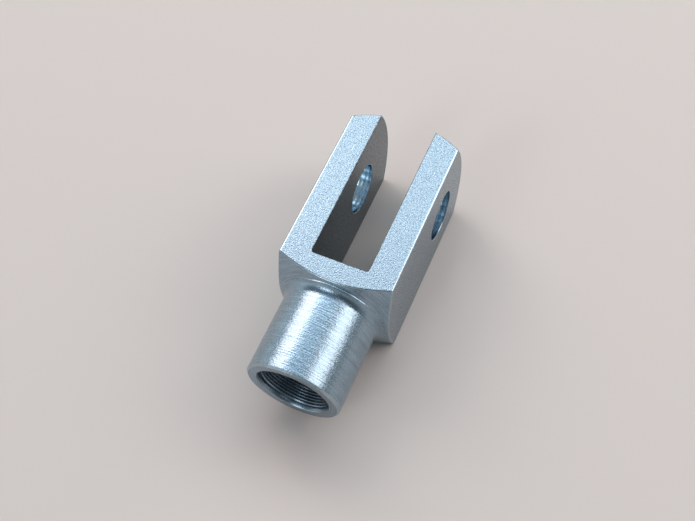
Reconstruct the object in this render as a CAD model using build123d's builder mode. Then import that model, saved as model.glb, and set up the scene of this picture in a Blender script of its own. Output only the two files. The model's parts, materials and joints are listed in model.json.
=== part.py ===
from build123d import *
import os
from math import radians, sqrt, tan

os.makedirs("parts", exist_ok=True)

# A clevis rod end: a fork with a threaded neck, machined in one piece from square steel bar.
# The rod axis is X, with the fork's ears towards +X and the threaded mouth towards -X.
# The clevis pin's axis is Y, and the origin is where the two axes cross. Sizes are in mm.

# Square bar and the slot milled into it
bar_width = 20.0
bar_edge_radius = 0.45  # the drawn bar's four long edges
slot_width = 10.0
pin_to_slot_floor = 20.0
slot_floor_radius = 0.5  # the cutter's corner, between the slot's floor and its walls

# Pin hole through both ears
pin_hole_diameter = 9.0
pin_hole_chamfer = 0.2

# Turned tip: one shallow dome across both ears
pin_to_crown = 12.5
dome_radius = 22.0

# Turned shoulder and neck
slot_floor_to_shoulder = 1.8  # to where the shoulder meets the bar's corners
shoulder_angle = 27.5  # the shoulder's cone, from square to the rod axis
shoulder_fillet_radius = 1.2
neck_diameter = 16.5
pin_to_rod_end = 40.0
rod_end_chamfer = 0.35

# Threaded bore, M12 x 0.5, whose wall stands here at the thread's outer diameter
thread_diameter = 12.0
thread_pitch = 0.5
mouth_chamfer = 0.45
slot_floor_to_thread = 3.6
slot_floor_to_drill = 1.5  # to where the tapping drill's full diameter ends
drill_point_angle = 118.0

# Small chamfer that breaks the sharp edges left by the cutters
edge_break = 0.2
# Bar beyond the finished form, which the turning and the milling cut away
stock_allowance = 1.0

# Places and radii that follow from those sizes
half_bar = bar_width / 2
corner_reach = half_bar * sqrt(2)
slot_floor_x = -pin_to_slot_floor
rod_end_x = -pin_to_rod_end
neck_radius = neck_diameter / 2
shoulder_slope = tan(radians(shoulder_angle))
shoulder_x = slot_floor_x - slot_floor_to_shoulder
shoulder_root_x = shoulder_x - (corner_reach - neck_radius) * shoulder_slope

# Between the shoulder and the dome the turning clears the bar's corners
swing_radius = corner_reach + stock_allowance
swing_shoulder_x = shoulder_x + stock_allowance * shoulder_slope
swing_dome_x = pin_to_crown - dome_radius + sqrt(dome_radius**2 - swing_radius**2)

# The thread's inner diameter is 1.0825 pitches under its outer one
thread_radius = thread_diameter / 2
drill_radius = thread_radius - 1.0825 / 2 * thread_pitch
thread_end_x = slot_floor_x - slot_floor_to_thread
runout_end_x = thread_end_x + thread_radius - drill_radius
drill_end_x = slot_floor_x - slot_floor_to_drill
drill_point_x = drill_end_x + drill_radius / tan(radians(drill_point_angle / 2))

with BuildPart() as clevis:
    # Square bar
    with BuildSketch(Plane.YZ.offset(rod_end_x - stock_allowance)):
        RectangleRounded(bar_width, bar_width, bar_edge_radius)
    extrude(amount=pin_to_rod_end + pin_to_crown + 2 * stock_allowance)

    # Neck, shoulder and dome, turned about the rod axis: half of their outline
    with BuildSketch(Plane.XY) as turned_outline:
        with BuildLine():
            neck_and_shoulder = Polyline(
                (rod_end_x, 0),
                (rod_end_x, neck_radius - rod_end_chamfer),
                (rod_end_x + rod_end_chamfer, neck_radius),
                (shoulder_root_x, neck_radius),
                (swing_shoulder_x, swing_radius),
                (swing_dome_x, swing_radius),
            )
            crown = RadiusArc(neck_and_shoulder @ 1, (pin_to_crown, 0), dome_radius)
            Line(crown @ 1, neck_and_shoulder @ 0)
        make_face()
        shoulder_root = turned_outline.vertices().sort_by_distance((shoulder_root_x, neck_radius))[0]
        fillet(shoulder_root, shoulder_fillet_radius)
    revolve(axis=Axis.X, mode=Mode.INTERSECT)

    # Slot between the ears, milled from the crown to its floor
    with BuildSketch(Plane.XY.offset(-half_bar)) as slot_outline:
        with Locations((slot_floor_x, 0)):
            Rectangle(
                pin_to_slot_floor + pin_to_crown + stock_allowance,
                slot_width,
                align=(Align.MIN, Align.CENTER),
            )
        fillet(slot_outline.vertices().group_by(Axis.X)[0], slot_floor_radius)
    extrude(amount=bar_width, mode=Mode.SUBTRACT)

    # Broken edges: the slot's two mouths, both tips, and the shoulder where it leaves the bar
    slot_levels = clevis.edges(Select.LAST).group_by(Axis.Z)
    tip_edges = clevis.faces().filter_by(GeomType.SPHERE).edges()
    shoulder_face = clevis.faces().filter_by(GeomType.CONE).sort_by(SortBy.AREA)[-1]
    shoulder_edges = [
        edge for edge in shoulder_face.edges() if edge.geom_type not in (GeomType.CIRCLE, GeomType.LINE)
    ]
    chamfer(slot_levels[0] + slot_levels[-1] + tip_edges + shoulder_edges, edge_break)

    # Pin hole, drilled across the slot
    with Locations(Plane.XZ.offset(half_bar)):
        Hole(pin_hole_diameter / 2)
    chamfer(clevis.edges(Select.LAST).filter_by(GeomType.CIRCLE), pin_hole_chamfer)

    # Threaded bore, with the drill's point breaking through the slot's floor
    with BuildSketch(Plane.XY):
        with BuildLine():
            Polyline(
                (rod_end_x, 0),
                (rod_end_x, thread_radius + mouth_chamfer),
                (rod_end_x + mouth_chamfer, thread_radius),
                (thread_end_x, thread_radius),
                (runout_end_x, drill_radius),
                (drill_end_x, drill_radius),
                (drill_point_x, 0),
                close=True,
            )
        make_face()
    revolve(axis=Axis.X, mode=Mode.SUBTRACT)

clevis.part.label = "clevis"
export_step(clevis.part, "parts/clevis.step")
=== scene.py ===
"""Looks for a zinc-plated clevis rod end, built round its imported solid.

The fork is made the way the real one is: a drawn square bar, turned, milled, drilled and tapped. Each tool
leaves its own surface on the steel, so each tool here is a mesh that carries its own finish, and the edges
where two tools' surfaces meet are the ones that get broken.
"""

import json
import logging
import math
from dataclasses import dataclass
from enum import Enum
from typing import Any

import bmesh
import bpy
from mathutils import Matrix, Vector


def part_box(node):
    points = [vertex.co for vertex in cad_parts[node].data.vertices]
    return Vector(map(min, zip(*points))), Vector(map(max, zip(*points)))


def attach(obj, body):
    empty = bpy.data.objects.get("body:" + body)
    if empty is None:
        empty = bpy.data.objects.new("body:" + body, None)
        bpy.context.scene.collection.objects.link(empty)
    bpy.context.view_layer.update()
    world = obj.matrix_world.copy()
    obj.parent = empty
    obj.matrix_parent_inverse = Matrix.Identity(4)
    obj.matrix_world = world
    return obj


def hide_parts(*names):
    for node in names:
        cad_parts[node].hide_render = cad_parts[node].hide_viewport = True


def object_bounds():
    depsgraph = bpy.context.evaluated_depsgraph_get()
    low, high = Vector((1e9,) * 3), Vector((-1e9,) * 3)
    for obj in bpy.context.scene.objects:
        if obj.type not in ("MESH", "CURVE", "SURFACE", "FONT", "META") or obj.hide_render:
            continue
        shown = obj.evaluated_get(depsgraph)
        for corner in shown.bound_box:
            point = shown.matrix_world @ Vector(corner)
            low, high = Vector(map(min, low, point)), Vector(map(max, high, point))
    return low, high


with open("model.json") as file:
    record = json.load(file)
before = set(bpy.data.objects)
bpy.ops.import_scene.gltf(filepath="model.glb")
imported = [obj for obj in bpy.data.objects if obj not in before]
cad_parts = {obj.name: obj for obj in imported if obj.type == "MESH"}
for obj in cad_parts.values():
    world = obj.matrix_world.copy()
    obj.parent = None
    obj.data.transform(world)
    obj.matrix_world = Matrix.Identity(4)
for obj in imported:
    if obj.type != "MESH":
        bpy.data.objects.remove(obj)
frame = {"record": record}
CAD_LOW, CAD_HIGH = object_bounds()

LOG = logging.getLogger("clevis")
MM = 0.001
SAME_POINT = 1e-4  # millimetres: points nearer than this are one
THREAD_DEPTH = 1.0825 / 2  # pitches: how far a metric thread's inner radius is under its outer one
FULL_TURN = 2 * math.pi
X_AXIS = Vector((1, 0, 0))
Y_AXIS = Vector((0, 1, 0))
Z_AXIS = Vector((0, 0, 1))


# ---------------------------------------------------------------- sizes, in millimetres


@dataclass(frozen=True)
class ForkSizes:
    """The fork's sizes in millimetres: its rod axis is X, its pin's axis is Y."""

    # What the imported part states
    half_bar: float
    rod_end_x: float
    pin_radius: float
    thread_radius: float
    thread_length: float

    # The drawn bar and the slot milled into it
    bar_edge_radius: float = 0.35
    half_slot: float = 5.0
    slot_floor_x: float = -20.0
    slot_floor_radius: float = 0.5

    # The turned tips, shoulder and neck
    crown_x: float = 12.5
    dome_radius: float = 22.0
    shoulder_x: float = -21.8
    shoulder_angle: float = math.radians(27.5)
    shoulder_fillet: float = 1.7
    neck_radius: float = 8.25
    rod_end_chamfer: float = 0.35

    # The narrow land that the turning tool left round the shoulder's cone
    witness_radius: float = 9.4
    witness_step: float = 0.14
    witness_margin: float = 0.2

    # The threaded bore and its tapping drill
    mouth_chamfer: float = 0.45
    mouth_depth: float = 0.8
    thread_pitch: float = 0.5
    drill_end_x: float = -21.5
    drill_point_angle: float = math.radians(118.0)

    # The rings that the drill's feed left in the pin hole. A drill feeds under 0.3 mm a turn. The rings are
    # drawn further apart, so that they show
    feed_pitch: float = 0.8
    feed_depth: float = 0.012

    # The edges that the cutters left sharp, broken by tumbling
    edge_break: float = 0.16

    @classmethod
    def from_frame(cls) -> "ForkSizes":
        """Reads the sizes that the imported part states.

        Returns:
            Those sizes, with the looks' own beside them.
        """
        low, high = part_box("clevis")
        mounts = {mount["name"]: mount["dims"] for mount in frame["record"]["mounts"]}
        return cls(
            half_bar=high.z / MM,
            rod_end_x=low.x / MM,
            pin_radius=mounts["pin_hole"]["r_mm"],
            thread_radius=mounts["rod_thread"]["r_mm"],
            thread_length=mounts["rod_thread"]["length_mm"],
        )

    @property
    def corner_reach(self) -> float:
        """The distance from the rod axis to the bar's corners."""
        return self.half_bar * math.sqrt(2)

    @property
    def drill_radius(self) -> float:
        """The tapping drill's radius, which is the thread's inner one."""
        return self.thread_radius - THREAD_DEPTH * self.thread_pitch

    @property
    def thread_end_x(self) -> float:
        """Where the tap's full teeth end."""
        return self.rod_end_x + self.mouth_chamfer + self.thread_length

    def cone_x(self, radius: float) -> float:
        """Where the shoulder's cone has a radius. It meets the bar's corners at shoulder_x."""
        return self.shoulder_x - (self.corner_reach - radius) * math.tan(self.shoulder_angle)

    def mouth_radius(self, depth: float) -> float:
        """The radius of the mouth's countersink at a depth behind the rod end."""
        return self.thread_radius + self.mouth_chamfer * (1 - depth / self.mouth_depth)


# ---------------------------------------------------------------- finishes


class Surface(Enum):
    """How a surface of the fork was made. The value is its material's place on the mesh."""

    DRAWN = 0
    TURNED = 1
    MILLED = 2
    DRILLED = 3
    TAPPED = 4
    BROKEN = 5


def linear(colour: str) -> tuple[float, float, float, float]:
    """Turns an sRGB hex colour into linear RGBA.

    Args:
        colour: six hex digits, such as "c0ffee".

    Returns:
        The linear red, green and blue with an alpha of 1.
    """
    parts = [int(colour[i : i + 2], 16) / 255 for i in (0, 2, 4)]
    return (*(p / 12.92 if p <= 0.04045 else ((p + 0.055) / 1.055) ** 2.4 for p in parts), 1.0)


def add_node(
    tree: bpy.types.NodeTree, kind: str, inputs: dict[Any, Any] | None = None, **settings: Any
) -> bpy.types.Node:
    """Adds a shader node with its settings and its links.

    Args:
        tree: the node tree it goes into.
        kind: the node's type without its "ShaderNode" prefix.
        inputs: a value, or the output that feeds it, for each input socket's name or number.
        settings: the node's own properties.

    Returns:
        The node.
    """
    node = tree.nodes.new("ShaderNode" + kind)
    for name, value in settings.items():
        setattr(node, name, value)
    for name, value in (inputs or {}).items():
        if isinstance(value, bpy.types.NodeSocket):
            tree.links.new(value, node.inputs[name])
        else:
            node.inputs[name].default_value = value
    return node


def around(centre: float, reach: float) -> dict[str, float]:
    """Gives the limits that turn a noise, which keeps near 0.5, into values round a centre.

    Args:
        centre: the value where the noise is at its middle.
        reach: how far the value goes each way.

    Returns:
        The limits, for the inputs of a Map Range node.
    """
    return {"From Min": 0.25, "From Max": 0.75, "To Min": centre - reach, "To Max": centre + reach}


@dataclass(frozen=True)
class Relief:
    """One layer of fine relief: round grains, or streaks that run round a cutter's axis.

    Attributes:
        grain_mm: how far apart the grains or streaks are.
        height_mm: how high they stand.
        tone: how far the plate's brightness follows them.
        streak_mm: how long a streak is, or 0 for round grains.
        axis: the cutter's axis.
    """

    grain_mm: float
    height_mm: float
    tone: float = 0.0
    streak_mm: float = 0.0
    axis: Vector = X_AXIS

    def pattern(self, tree: bpy.types.NodeTree, place: bpy.types.NodeSocket) -> bpy.types.NodeSocket:
        """Draws the layer's noise.

        Args:
            tree: the material's node tree.
            place: the object coordinates.

        Returns:
            The noise's output, which keeps near 0.5.
        """
        if self.streak_mm:
            place = self.streaked(tree, place)
        scale = 1 / ((self.streak_mm or self.grain_mm) * MM)
        noise = add_node(tree, "TexNoise", {"Vector": place, "Scale": scale, "Detail": 1.0})
        return noise.outputs["Fac"]

    def streaked(self, tree: bpy.types.NodeTree, place: bpy.types.NodeSocket) -> bpy.types.NodeSocket:
        """Squeezes the coordinates across the streaks.

        The distance along the axis less the distance out from it changes along a cylinder, a cone and a
        flat end alike, so one pattern serves them all.

        Args:
            tree: the material's node tree.
            place: the object coordinates.

        Returns:
            The coordinates in which a round grain is a streak round the axis.
        """
        beside = Vector((1, 1, 1)) - self.axis
        squeeze = self.streak_mm / self.grain_mm
        off_axis = add_node(tree, "VectorMath", {0: place, 1: beside}, operation="MULTIPLY").outputs[0]
        out = add_node(tree, "VectorMath", {0: off_axis}, operation="LENGTH").outputs["Value"]
        dot = add_node(tree, "VectorMath", {0: place, 1: self.axis}, operation="DOT_PRODUCT")
        feed = add_node(tree, "Math", {0: dot.outputs["Value"], 1: out}, operation="SUBTRACT").outputs[0]
        feed = add_node(tree, "Math", {0: feed, 1: squeeze}, operation="MULTIPLY").outputs[0]
        feed = add_node(tree, "VectorMath", {0: self.axis, "Scale": feed}, operation="SCALE").outputs[0]
        return add_node(tree, "VectorMath", {0: off_axis, 1: feed}, operation="ADD").outputs[0]


@dataclass(frozen=True)
class ZincFinish:
    """Blue-white zinc plate over one kind of machined steel surface.

    The plate is a greyish blue metal, a little rough. It is thin enough to keep the relief of the steel
    under it, so each surface still shows which tool made it.

    Attributes:
        name: the material's name.
        reliefs: the layers of relief. The first also varies the colour and the roughness.
        colour: the plate on the first layer's tops, in sRGB.
        shade: the plate in its hollows, in sRGB.
        roughness: the roughness at the middle of the first layer.
        roughness_spread: how far the roughness goes each way from there.
    """

    name: str
    reliefs: tuple[Relief, ...]
    colour: str
    shade: str
    roughness: float
    roughness_spread: float = 0.06

    def material(self) -> bpy.types.Material:
        """Builds the material.

        Returns:
            A metal whose grain and cutter lines are worked out in object coordinates.
        """
        material = bpy.data.materials.new(self.name)
        material.use_nodes = True
        tree = material.node_tree
        tree.nodes.clear()
        place = add_node(tree, "TexCoord").outputs["Object"]
        rough = normal = plate = None
        for relief in self.reliefs:
            pattern = relief.pattern(tree, place)
            bump = {"Height": pattern, "Distance": relief.height_mm * MM, "Strength": 1.0}
            if normal:
                bump["Normal"] = normal
            normal = add_node(tree, "Bump", bump).outputs["Normal"]
            if not plate:
                worn = {"Value": pattern, **around(self.roughness, self.roughness_spread)}
                rough = add_node(tree, "MapRange", worn).outputs["Result"]
                tops = {"Value": pattern, **around(0.5, 0.5)}
                grains = add_node(tree, "MapRange", tops).outputs["Result"]
                both = {"Fac": grains, "Color1": linear(self.shade), "Color2": linear(self.colour)}
                plate = add_node(tree, "MixRGB", both).outputs["Color"]
            if relief.tone:
                glints = {"Value": pattern, **around(1.0, relief.tone)}
                tone = add_node(tree, "MapRange", glints).outputs["Result"]
                toned = {0: plate, "Scale": tone}
                plate = add_node(tree, "VectorMath", toned, operation="SCALE").outputs[0]
        surface = {"Base Color": plate, "Roughness": rough, "Normal": normal, "Metallic": 1.0}
        shader = add_node(tree, "BsdfPrincipled", surface)
        add_node(tree, "OutputMaterial", {"Surface": shader.outputs["BSDF"]})
        return material


FINISHES: dict[Surface, ZincFinish] = {
    # Cold drawn, then tumbled before plating: fine dents all over, which sparkle as light and dark specks.
    # The real dents are under 0.1 mm across. They are drawn at 0.13 and 0.2 mm, the finest that show.
    Surface.DRAWN: ZincFinish(
        "zinc_on_drawn_bar",
        (Relief(0.2, 0.05, tone=0.15), Relief(0.13, 0.02)),
        colour="a1acb4",
        shade="6c8698",
        roughness=0.27,
        roughness_spread=0.05,
    ),
    # Turned on a lathe: fine lines run round the rod axis, so a highlight becomes a long band with streaky
    # edges. A finishing cut feeds about 0.1 mm a turn. The lines are drawn 0.17 mm apart, the finest that
    # show, over a little of the plate's own grain and a faint waviness of 0.5 mm.
    Surface.TURNED: ZincFinish(
        "zinc_on_turned_steel",
        (Relief(0.2, 0.022), Relief(0.17, 0.027, tone=0.18, streak_mm=4.5), Relief(0.5, 0.025)),
        colour="97abb9",
        shade="8da1b0",
        roughness=0.25,
    ),
    # Milled between the ears: duller and mottled. Its darker colour is painted shade between the ears. The
    # cutter's marks are about 0.1 mm apart and are drawn as mottling of 0.25 and 0.5 mm, the finest that
    # shows.
    Surface.MILLED: ZincFinish(
        "zinc_on_milled_slot_painted_shade",
        (Relief(0.25, 0.02, tone=0.4), Relief(0.5, 0.02, tone=0.5)),
        colour="707a80",
        shade="5d676d",
        roughness=0.32,
    ),
    # Drilled: the drill's lands rub the wall smooth, so it is bright and nearly mirrors what is opposite,
    # with faint lines round the pin's axis. A drill feeds 0.1 to 0.2 mm a turn. The lines are drawn 0.3 mm
    # apart, the finest that show in the hole.
    Surface.DRILLED: ZincFinish(
        "zinc_on_drilled_hole",
        (Relief(0.5, 0.002), Relief(0.3, 0.006, streak_mm=4.0, axis=Y_AXIS)),
        colour="c6dae6",
        shade="b4cad8",
        roughness=0.17,
        roughness_spread=0.03,
    ),
    # Tapped: the tap's teeth tear the flanks a little, so they glint unevenly along the thread. The tears
    # are finer than 0.1 mm and are drawn at 0.2 and 0.3 mm, the finest that show.
    Surface.TAPPED: ZincFinish(
        "zinc_on_tapped_bore",
        (Relief(0.2, 0.01), Relief(0.3, 0.02, streak_mm=2.0)),
        colour="8c9ca9",
        shade="80919e",
        roughness=0.28,
    ),
    # Broken by tumbling: edges rubbed round and smooth, where plate builds up, so each catches a thin
    # bright line, a little uneven every 0.3 mm.
    Surface.BROKEN: ZincFinish(
        "zinc_on_broken_edge",
        (Relief(0.3, 0.02),),
        colour="b2c0c8",
        shade="9cacb6",
        roughness=0.22,
    ),
}


# ---------------------------------------------------------------- meshes


class Outline:
    """A wire drawn point by point in the plane of an axis, which then turns round that axis."""

    def __init__(self, axis: Vector, start: tuple[float, float]) -> None:
        """Starts the wire.

        Args:
            axis: the axis that it turns about, X or Y.
            start: the first point, as its place along the axis and its distance from it.
        """
        self.axis = axis
        self.mesh = bmesh.new()
        self.side = Z_AXIS
        self.last = self.mesh.verts.new(self._point(*start))

    def _point(self, along: float, out: float) -> Vector:
        """The point at a place along the axis and a distance from it."""
        return self.axis * along + self.side * out

    def line_to(self, along: float, out: float) -> "Outline":
        """Draws a straight line.

        Args:
            along: the end's place along the axis.
            out: the end's distance from the axis.

        Returns:
            The outline, so that calls can follow each other.
        """
        made = bmesh.ops.extrude_vert_indiv(self.mesh, verts=[self.last])["verts"][0]
        made.co = self._point(along, out)
        self.last = made
        return self

    def arc(self, centre: tuple[float, float], angle: float, steps: int) -> "Outline":
        """Draws an arc from the last point.

        Args:
            centre: the arc's centre, as its place along the axis and its distance from it.
            angle: the turn in radians, from the axis towards the side that the outline is drawn on.
            steps: how many straight pieces the arc gets.

        Returns:
            The outline, so that calls can follow each other.
        """
        made = bmesh.ops.spin(
            self.mesh,
            geom=[self.last],
            cent=self._point(*centre),
            axis=self.axis.cross(self.side),
            angle=angle,
            steps=steps,
        )["geom_last"]
        self.last = next(part for part in made if isinstance(part, bmesh.types.BMVert))
        return self

    def turned(self, steps: int) -> bmesh.types.BMesh:
        """Turns the wire once round its axis.

        Args:
            steps: how many flats stand for the full turn.

        Returns:
            The closed mesh, with its faces pointing outwards.
        """
        bmesh.ops.spin(
            self.mesh,
            geom=[*self.mesh.verts, *self.mesh.edges],
            cent=(0, 0, 0),
            axis=self.axis,
            angle=FULL_TURN,
            steps=steps,
            use_merge=True,
        )
        bmesh.ops.remove_doubles(self.mesh, verts=self.mesh.verts, dist=SAME_POINT)
        bmesh.ops.recalc_face_normals(self.mesh, faces=self.mesh.faces)
        return self.mesh


def block(low_x: float, high_x: float, width: float, height: float) -> bmesh.types.BMesh:
    """Makes a block that lies along the rod axis.

    Args:
        low_x: where it starts.
        high_x: where it ends.
        width: its size across Y, centred.
        height: its size across Z, centred.

    Returns:
        The block's mesh.
    """
    mesh = bmesh.new()
    bmesh.ops.create_cube(mesh, size=1.0)
    bmesh.ops.scale(mesh, vec=(high_x - low_x, width, height), verts=mesh.verts)
    bmesh.ops.translate(mesh, vec=((low_x + high_x) / 2, 0, 0), verts=mesh.verts)
    return mesh


def runs_along(edge: bmesh.types.BMEdge, axis: Vector) -> bool:
    """Says whether a block's edge runs along an axis.

    Args:
        edge: the edge.
        axis: the axis, one of the three.

    Returns:
        Whether it does.
    """
    return abs((edge.verts[0].co - edge.verts[1].co).dot(axis)) > SAME_POINT


def round_edges(
    mesh: bmesh.types.BMesh, edges: list[bmesh.types.BMEdge], radius: float, steps: int
) -> None:
    """Rounds a block's edges.

    Args:
        mesh: the block's mesh, which is changed.
        edges: the edges.
        radius: their radius, where the faces beside them are square.
        steps: how many flats stand for the quarter round.
    """
    bmesh.ops.bevel(
        mesh, geom=edges, offset=radius, segments=steps, profile=0.5, affect="EDGES", material=-1
    )


def as_object(
    name: str, mesh: bmesh.types.BMesh, surface: Surface, materials: list[bpy.types.Material]
) -> bpy.types.Object:
    """Makes an object of a mesh whose faces all have one finish.

    Args:
        name: the object's name.
        mesh: the mesh, which is freed.
        surface: the finish.
        materials: one for each Surface, in its order.

    Returns:
        The object, linked to the scene.
    """
    for face in mesh.faces:
        face.material_index = surface.value
    data = bpy.data.meshes.new(name)
    mesh.to_mesh(data)
    mesh.free()
    for material in materials:
        data.materials.append(material)
    made = bpy.data.objects.new(name, data)
    bpy.context.scene.collection.objects.link(made)
    return made


def apply_modifiers(piece: bpy.types.Object) -> None:
    """Puts what a piece's modifiers make into its mesh, and removes them.

    Args:
        piece: the object, which gets a new mesh.
    """
    depsgraph = bpy.context.evaluated_depsgraph_get()
    made = bpy.data.meshes.new_from_object(piece.evaluated_get(depsgraph), depsgraph=depsgraph)
    piece.modifiers.clear()
    piece.data = made


# ---------------------------------------------------------------- the fork


@dataclass
class Fork:
    """The fork, cut from square bar by the same tools as the real one.

    Attributes:
        sizes: the fork's sizes.
        spare: how far the bar and the tools reach past the finished form, in millimetres.
        turning_steps: how many flats stand for a turn round the rod axis.
        drilling_steps: how many stand for a turn round the pin's axis.
        bar_edge_steps: how many stand for the rounding of one of the bar's long edges.
        slot_corner_steps: how many stand for the rounding beside the slot's floor.
        fillet_steps: how many stand for the shoulder's fillet.
        dome_steps: how many stand for the dome, from its rim to its crown.
        break_steps: how many stand for a broken edge.
        points_per_ring: how many points shape one ring of the pin drill's feed.
        sliver: cuts leave slivers narrower than this, in millimetres, which are merged away.
        rim_side: broken edges this near the slot's walls and floor keep the walls' darker colour, which is
            painted shade, in millimetres.
        rim_depth: how far under the bar's flats they keep it, in millimetres.
        flat_facing: how much a flat's normal keeps along Y or Z, at least.
        chamfer_facing: how much a 45 degree chamfer's normal has along the rod axis, from and to.
        sharp_angle: faces that meet at more than this aren't shaded as one.
    """

    sizes: ForkSizes
    spare: float = 2.0
    turning_steps: int = 192
    drilling_steps: int = 96
    bar_edge_steps: int = 4
    slot_corner_steps: int = 5
    fillet_steps: int = 10
    dome_steps: int = 16
    break_steps: int = 3
    points_per_ring: int = 6
    sliver: float = 0.004
    rim_side: float = 0.3
    rim_depth: float = 0.5
    flat_facing: float = 0.99
    chamfer_facing: tuple[float, float] = (0.5, 0.8)
    sharp_angle: float = math.radians(32)

    def bar(self) -> bmesh.types.BMesh:
        """Draws the square bar, with its long edges rounded.

        Returns:
            The bar's mesh, a little longer than the fork.
        """
        s = self.sizes
        mesh = block(s.rod_end_x - self.spare, s.crown_x + self.spare, 2 * s.half_bar, 2 * s.half_bar)
        long_edges = [edge for edge in mesh.edges if runs_along(edge, X_AXIS)]
        round_edges(mesh, long_edges, s.bar_edge_radius, self.bar_edge_steps)
        return mesh

    def envelope(self) -> bmesh.types.BMesh:
        """Turns what the lathe leaves: neck, shoulder and the dome across the tips.

        Returns:
            The turned form's mesh, wider than the bar between the shoulder and the dome.
        """
        s = self.sizes
        swing = s.corner_reach + self.spare
        slope = math.tan(s.shoulder_angle)
        turn = math.pi / 2 - s.shoulder_angle
        fillet_x = s.cone_x(s.neck_radius) - s.shoulder_fillet * math.tan(turn / 2)
        dome_centre = s.crown_x - s.dome_radius
        dome_turn = math.asin(swing / s.dome_radius)
        outline = Outline(X_AXIS, (s.rod_end_x, 0))
        outline.line_to(s.rod_end_x, s.neck_radius - s.rod_end_chamfer)
        outline.line_to(s.rod_end_x + s.rod_end_chamfer, s.neck_radius)
        outline.line_to(fillet_x, s.neck_radius)
        outline.arc((fillet_x, s.neck_radius + s.shoulder_fillet), turn, self.fillet_steps)
        witness_x = s.cone_x(s.witness_radius)
        margin = s.witness_margin
        outline.line_to(witness_x - margin * slope, s.witness_radius - margin)
        outline.line_to(witness_x, s.witness_radius)
        outline.line_to(witness_x + s.witness_step, s.witness_radius)
        outline.line_to(witness_x + s.witness_step + margin * slope, s.witness_radius + margin)
        outline.line_to(s.shoulder_x + self.spare * slope, swing)
        outline.line_to(dome_centre + s.dome_radius * math.cos(dome_turn), swing)
        outline.arc((dome_centre, 0), -dome_turn, self.dome_steps)
        return outline.turned(self.turning_steps)

    def slot(self) -> bmesh.types.BMesh:
        """Sweeps the milling cutter between the ears.

        Returns:
            The mesh of the cutter's path, with the rounding that it leaves beside the slot's floor.
        """
        s = self.sizes
        mesh = block(
            s.slot_floor_x, s.crown_x + 2 * self.spare, 2 * s.half_slot, 2 * (s.half_bar + self.spare)
        )
        upright = [edge for edge in mesh.edges if runs_along(edge, Z_AXIS)]
        at_floor = [edge for edge in upright if abs(edge.verts[0].co.x - s.slot_floor_x) < SAME_POINT]
        round_edges(mesh, at_floor, s.slot_floor_radius, self.slot_corner_steps)
        return mesh

    def pin_drill(self) -> bmesh.types.BMesh:
        """Turns the drill that goes across both ears, with the rings that its feed leaves.

        Returns:
            The drill's mesh, with rings only inside the ears.
        """
        s = self.sizes
        reach = s.half_bar + self.spare
        start = -s.half_bar - s.feed_pitch / 2
        steps = round(-2 * start / s.feed_pitch * self.points_per_ring)
        outline = Outline(Y_AXIS, (-reach, 0))
        outline.line_to(-reach, s.pin_radius)
        for step in range(steps + 1):
            along = start + step * s.feed_pitch / self.points_per_ring
            if abs(along) > s.half_slot - s.feed_pitch:
                swell = 0.5 - 0.5 * math.cos(FULL_TURN * step / self.points_per_ring)
                outline.line_to(along, s.pin_radius + s.feed_depth * swell)
        outline.line_to(reach, s.pin_radius)
        outline.line_to(reach, 0)
        return outline.turned(self.drilling_steps)

    def rod_bore(self) -> bmesh.types.BMesh:
        """Turns the countersink, the tap and the tapping drill as one tool.

        Returns:
            The tool's mesh. Its point breaks through the slot's floor.
        """
        s = self.sizes
        runout_x = s.thread_end_x + s.thread_radius - s.drill_radius
        outline = Outline(X_AXIS, (s.rod_end_x - self.spare, 0))
        outline.line_to(s.rod_end_x - self.spare, s.mouth_radius(-self.spare))
        outline.line_to(s.rod_end_x + s.mouth_depth, s.thread_radius)
        outline.line_to(s.thread_end_x, s.thread_radius)
        outline.line_to(runout_x, s.drill_radius)
        outline.line_to(s.drill_end_x, s.drill_radius)
        outline.line_to(s.drill_end_x + s.drill_radius / math.tan(s.drill_point_angle / 2), 0)
        return outline.turned(self.turning_steps)

    def build(self, materials: list[bpy.types.Material]) -> bpy.types.Object:
        """Cuts the fork and breaks its edges.

        Args:
            materials: one for each Surface, in its order.

        Returns:
            The finished piece, in metres.
        """
        fork = as_object("fork", self.bar(), Surface.DRAWN, materials)
        tools = (
            ("lathe", "INTERSECT", self.envelope(), Surface.TURNED),
            ("slot_mill", "DIFFERENCE", self.slot(), Surface.MILLED),
            ("pin_drill", "DIFFERENCE", self.pin_drill(), Surface.DRILLED),
            ("rod_tap", "DIFFERENCE", self.rod_bore(), Surface.TAPPED),
        )
        for name, operation, mesh, surface in tools:
            cut = fork.modifiers.new(name, "BOOLEAN")
            cut.operation = operation
            cut.object = as_object(name, mesh, surface, materials)
            cut.solver = "EXACT"
        apply_modifiers(fork)
        for name, *_ in tools:
            bpy.data.meshes.remove(bpy.data.objects[name].data)
        self.break_edges(fork)
        return fork

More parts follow.
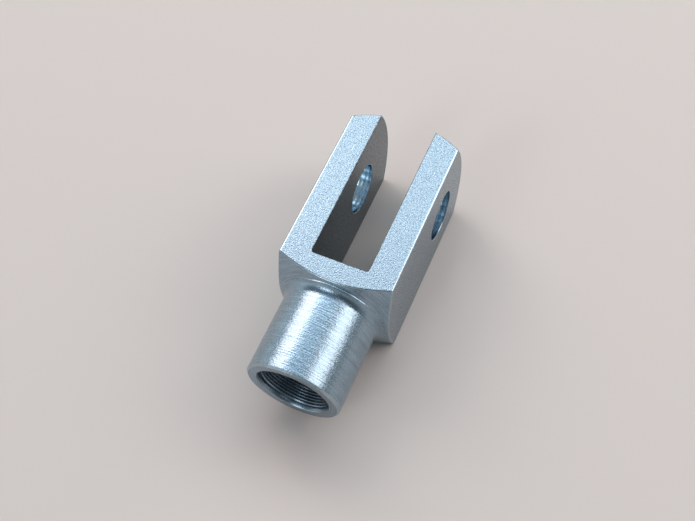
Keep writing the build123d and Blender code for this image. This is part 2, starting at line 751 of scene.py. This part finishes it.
    def break_edges(self, fork: bpy.types.Object) -> None:
        """Rounds the edges where two tools' surfaces meet, and turns the mesh to metres.

        Args:
            fork: the fork as cut, whose mesh is changed.
        """
        mesh = bmesh.new()
        mesh.from_mesh(fork.data)
        bmesh.ops.remove_doubles(mesh, verts=mesh.verts, dist=self.sliver)
        bmesh.ops.dissolve_degenerate(mesh, edges=mesh.edges, dist=self.sliver)
        borders = [edge for edge in mesh.edges if len({f.material_index for f in edge.link_faces}) > 1]
        gaps = sum(not edge.is_manifold for edge in mesh.edges)
        LOG.info("fork: %d border edges, %d open", len(borders), gaps)
        bmesh.ops.bevel(
            mesh,
            geom=borders,
            offset=self.sizes.edge_break,
            segments=self.break_steps,
            profile=0.5,
            affect="EDGES",
            clamp_overlap=False,
            material=Surface.BROKEN.value,
        )
        for face in mesh.faces:
            face.material_index = self.worn(face).value
        bmesh.ops.scale(mesh, vec=(MM, MM, MM), verts=mesh.verts)
        mesh.to_mesh(fork.data)
        mesh.free()
        fork.data.shade_smooth()
        fork.data.set_sharp_from_angle(angle=self.sharp_angle)
        fork.modifiers.new("even_flats", "WEIGHTED_NORMAL").keep_sharp = True

    def worn(self, face: bmesh.types.BMFace) -> Surface:
        """Says how a face looks after tumbling.

        Args:
            face: a face of the fork with its edges broken, in millimetres.

        Returns:
            The finish. The slot's rim keeps its walls' darker colour, which is painted shade, and the bar's
            rounded long edges and the rod end's chamfer are rubbed as the broken edges are.
        """
        s = self.sizes
        surface = Surface(face.material_index)
        middle = face.calc_center_median()
        facing = face.normal
        if surface is Surface.BROKEN:
            # Broken edges at the slot's rim take the walls' darker colour: painted shade between the ears.
            across = abs(middle.y) < s.half_slot + self.rim_side
            along = middle.x > s.slot_floor_x - self.rim_side
            near_flat = abs(middle.z) > s.half_bar - self.rim_depth
            return Surface.MILLED if across and along and near_flat else surface
        if surface is Surface.DRAWN:
            return Surface.BROKEN if max(abs(facing.y), abs(facing.z)) < self.flat_facing else surface
        if surface is Surface.TURNED and middle.x < s.rod_end_x + s.rod_end_chamfer:
            low, high = self.chamfer_facing
            return Surface.BROKEN if low < -facing.x < high else surface
        return surface


# ---------------------------------------------------------------- the thread


@dataclass
class BoreThread:
    """The ridge that the tap leaves in the bore: one right-hand helix.

    Attributes:
        sizes: the fork's sizes.
        steps_per_turn: how many pieces make one turn of the helix.
        seat: how far the ridge's foot is sunk into the wall, in millimetres.
        half_foot: half the width of the ridge's foot, in pitches.
        crest: the radius of its rounded crest, in pitches.
        crest_angles: where the crest's points lie on that rounding, in degrees from its top.
        runout: how many turns before the thread's end the ridge ends.
    """

    sizes: ForkSizes
    steps_per_turn: int = 64
    seat: float = 0.03
    half_foot: float = 0.43
    crest: float = 0.2
    crest_angles: tuple[int, ...] = (-60, -36, -12, 12, 36, 60)
    runout: float = 0.6

    def build(self, materials: list[bpy.types.Material]) -> bpy.types.Object:
        """Winds the ridge from just inside the mouth to the thread's end.

        Args:
            materials: one for each Surface, in its order.

        Returns:
            The finished piece, in metres.
        """
        s = self.sizes
        foot = self.half_foot * s.thread_pitch
        crest = self.crest * s.thread_pitch
        rounding = [math.radians(angle) for angle in self.crest_angles]
        corners = [
            (-foot, s.thread_radius + self.seat),
            *((crest * math.sin(turn), s.drill_radius + crest * (1 - math.cos(turn))) for turn in rounding),
            (foot, s.thread_radius + self.seat),
        ]
        start_x = s.rod_end_x - s.thread_pitch / 2
        turns = (s.thread_end_x - start_x) / s.thread_pitch - self.runout
        steps = round(turns * self.steps_per_turn)
        mesh = bmesh.new()
        section = mesh.faces.new([mesh.verts.new((start_x + x, 0, r)) for x, r in corners])
        bmesh.ops.spin(
            mesh,
            geom=[section, *section.edges, *section.verts],
            cent=(0, 0, 0),
            axis=X_AXIS,
            dvec=X_AXIS * (s.thread_pitch / self.steps_per_turn),
            angle=FULL_TURN * steps / self.steps_per_turn,
            steps=steps,
        )
        for vert in mesh.verts:
            self.countersink(vert)
        bmesh.ops.recalc_face_normals(mesh, faces=mesh.faces)
        bmesh.ops.scale(mesh, vec=(MM, MM, MM), verts=mesh.verts)
        LOG.info("thread: %d open edges", sum(not edge.is_manifold for edge in mesh.edges))
        ridge = as_object("bore_thread", mesh, Surface.TAPPED, materials)
        ridge.data.shade_smooth()
        return ridge

    def countersink(self, vert: bmesh.types.BMVert) -> None:
        """Keeps a corner of the ridge out of the mouth's cone, a little under its surface.

        Args:
            vert: the corner, in millimetres, which is moved.
        """
        s = self.sizes
        vert.co.x = max(vert.co.x, s.rod_end_x + self.seat)
        out = math.hypot(vert.co.y, vert.co.z)
        cone = s.mouth_radius(vert.co.x - s.rod_end_x)
        if out < cone:
            vert.co.yz = vert.co.yz * ((cone + self.seat) / out)


# ---------------------------------------------------------------- the studio


@dataclass(frozen=True)
class Softbox:
    """A soft lamp that looks at the object, placed by its direction from it.

    Attributes:
        name: the lamp's name.
        azimuth: its direction round Z from +X, in degrees.
        elevation: its height above level, in degrees.
        size: its width and height, in metres.
        strength: how bright its face is.
        colour: its colour, in sRGB.
        distance: how far away it is, in metres.
    """

    name: str
    azimuth: float
    elevation: float
    size: tuple[float, float]
    strength: float
    colour: str = "ffffff"
    distance: float = 1.0

    def place(self, target: Vector) -> None:
        """Adds the lamp.

        Args:
            target: the point that it looks at, in metres.
        """
        turn = math.radians(self.azimuth)
        rise = math.radians(self.elevation)
        level = math.cos(rise)
        towards = Vector((math.cos(turn) * level, math.sin(turn) * level, math.sin(rise)))
        width, height = self.size
        lamp = bpy.data.lights.new(self.name, "AREA")
        lamp.shape = "RECTANGLE"
        lamp.size = width
        lamp.size_y = height
        # The power grows with the lamp's face, so its brightness doesn't change with its size
        lamp.energy = self.strength * math.pi * width * height
        lamp.color = linear(self.colour)[:3]
        made = bpy.data.objects.new(self.name, lamp)
        made.location = target + towards * self.distance
        made.rotation_mode = "QUATERNION"
        made.rotation_quaternion = towards.to_track_quat("Z", "Y")
        made.visible_camera = False
        bpy.context.scene.collection.objects.link(made)


SOFTBOXES: tuple[Softbox, ...] = (
    Softbox("key", azimuth=59, elevation=40, size=(0.42, 0.57), strength=3.9, colour="fff1ee"),
    Softbox("side", azimuth=160, elevation=36, size=(0.30, 0.42), strength=3.2, colour="f4fcff"),
    Softbox("back", azimuth=8, elevation=51.5, size=(1.1, 0.42), strength=2.95, colour="f4fbff"),
    Softbox("high", azimuth=20, elevation=78, size=(0.70, 0.50), strength=0.55, colour="ccebff"),
    Softbox("fill", azimuth=-58, elevation=35.5, size=(0.62, 0.56), strength=3.2, colour="fff7f4"),
    Softbox("edge", azimuth=-85, elevation=62, size=(0.50, 0.50), strength=0.8),
)

# The room's light in linear red, green and blue, by the height that it comes from: 0 is level, 1 overhead
ROOM_LIGHT: dict[float, tuple[float, float, float]] = {
    0.0: (0.80, 0.87, 0.87),
    0.25: (0.71, 0.79, 0.82),
    0.42: (0.215, 0.24, 0.255),
    1.0: (0.265, 0.32, 0.38),
}


@dataclass(frozen=True)
class Studio:
    """A pale floor, soft light and the camera.

    Attributes:
        floor_height: the floor's height, in metres.
        floor_colour: the floor's and the backdrop's colour, in sRGB.
        floor_roughness: the floor's roughness, that of matt paper.
        floor_reach: how far the floor goes each way, in metres.
        dim_side: how much of the room's light comes from its darker side, towards -Y.
        aim: the point that the lamps look at, in metres.
        eye_mm: the camera's place, in millimetres.
        look_mm: the point at the middle of its view, in millimetres.
        roll: how far it is turned about its view, in degrees.
        lens: its focal length in millimetres.
        sensor: its sensor's width in millimetres.
    """

    floor_height: float
    floor_colour: str = "d4cac4"
    floor_roughness: float = 0.75
    floor_reach: float = 0.9
    dim_side: float = 0.45
    aim: tuple[float, float, float] = (-0.014, 0.0, 0.0)
    eye_mm: tuple[float, float, float] = (-86.37, -37.83, 146.04)
    look_mm: tuple[float, float, float] = (-14.44, 1.58, 0.0)
    roll: float = 5.62
    lens: float = 50.49
    sensor: float = 36.0

    def floor(self) -> None:
        """Lays the floor that the fork rests on."""
        mesh = bmesh.new()
        bmesh.ops.create_grid(mesh, x_segments=1, y_segments=1, size=self.floor_reach)
        bmesh.ops.translate(mesh, vec=(0, 0, self.floor_height), verts=mesh.verts)
        # Heavy matt paper: even and pale, with no gloss
        material = bpy.data.materials.new("pale_paper")
        material.use_nodes = True
        tree = material.node_tree
        tree.nodes.clear()
        paper = {"Base Color": linear(self.floor_colour), "Roughness": self.floor_roughness}
        shader = add_node(tree, "BsdfPrincipled", paper)
        add_node(tree, "OutputMaterial", {"Surface": shader.outputs["BSDF"]})
        data = bpy.data.meshes.new("floor")
        mesh.to_mesh(data)
        mesh.free()
        data.materials.append(material)
        made = bpy.data.objects.new("floor", data)
        bpy.context.scene.collection.objects.link(made)

    def sky(self) -> None:
        """Lights the room: bright walls under a dim ceiling. The camera itself sees a pale backdrop."""
        world = bpy.data.worlds.new("studio")
        bpy.context.scene.world = world
        world.use_nodes = True
        tree = world.node_tree
        tree.nodes.clear()
        towards = add_node(tree, "SeparateXYZ", {0: add_node(tree, "TexCoord").outputs["Generated"]})
        ramp = add_node(tree, "ValToRGB", {"Fac": towards.outputs["Z"]})
        stops = ramp.color_ramp.elements
        for height, colour in ROOM_LIGHT.items():
            stop = next((end for end in stops if end.position == height), None) or stops.new(height)
            stop.color = (*colour, 1.0)
        sides = {"From Min": -0.5, "From Max": 0.5, "To Min": self.dim_side, "To Max": 1.0}
        side = add_node(tree, "MapRange", {"Value": towards.outputs["Y"], **sides}).outputs["Result"]
        dimmed = {0: ramp.outputs["Color"], "Scale": side}
        room = add_node(tree, "VectorMath", dimmed, operation="SCALE").outputs[0]
        seen = add_node(tree, "LightPath").outputs["Is Camera Ray"]
        both = {"Fac": seen, "Color1": room, "Color2": linear(self.floor_colour)}
        shown = add_node(tree, "MixRGB", both).outputs["Color"]
        background = add_node(tree, "Background", {"Color": shown, "Strength": 1.0})
        add_node(tree, "OutputWorld", {"Surface": background.outputs["Background"]})

    def camera(self) -> None:
        """Sets up the camera, above the rod's end and to its right."""
        data = bpy.data.cameras.new("camera")
        data.sensor_width = self.sensor
        data.lens = self.lens
        data.clip_start = 0.005
        data.clip_end = 20.0
        made = bpy.data.objects.new("camera", data)
        place = Vector(self.eye_mm) * MM
        look = Vector(self.look_mm) * MM - place
        roll = Matrix.Rotation(math.radians(self.roll), 4, look)
        facing = look.to_track_quat("-Z", "Y").to_matrix().to_4x4()
        made.matrix_world = Matrix.Translation(place) @ roll @ facing
        bpy.context.scene.collection.objects.link(made)
        bpy.context.scene.camera = made

    def lamps(self) -> None:
        """Places the soft lamps."""
        for softbox in SOFTBOXES:
            softbox.place(Vector(self.aim))


# ---------------------------------------------------------------- all of it


def main() -> None:
    """Builds the pieces in order, dresses them and lights them."""
    logging.basicConfig(level=logging.INFO, format="%(name)s: %(message)s")
    sizes = ForkSizes.from_frame()
    materials = [FINISHES[surface].material() for surface in Surface]
    fork = Fork(sizes).build(materials)
    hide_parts("clevis")
    thread = BoreThread(sizes).build(materials)
    for piece in (fork, thread):
        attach(piece, "root")
        LOG.info("%s: %d faces", piece.name, len(piece.data.polygons))
    studio = Studio(floor_height=CAD_LOW.z)
    studio.floor()
    studio.sky()
    studio.camera()
    studio.lamps()
    bpy.context.scene.view_settings.view_transform = "Standard"


if __name__ == "__main__":
    main()
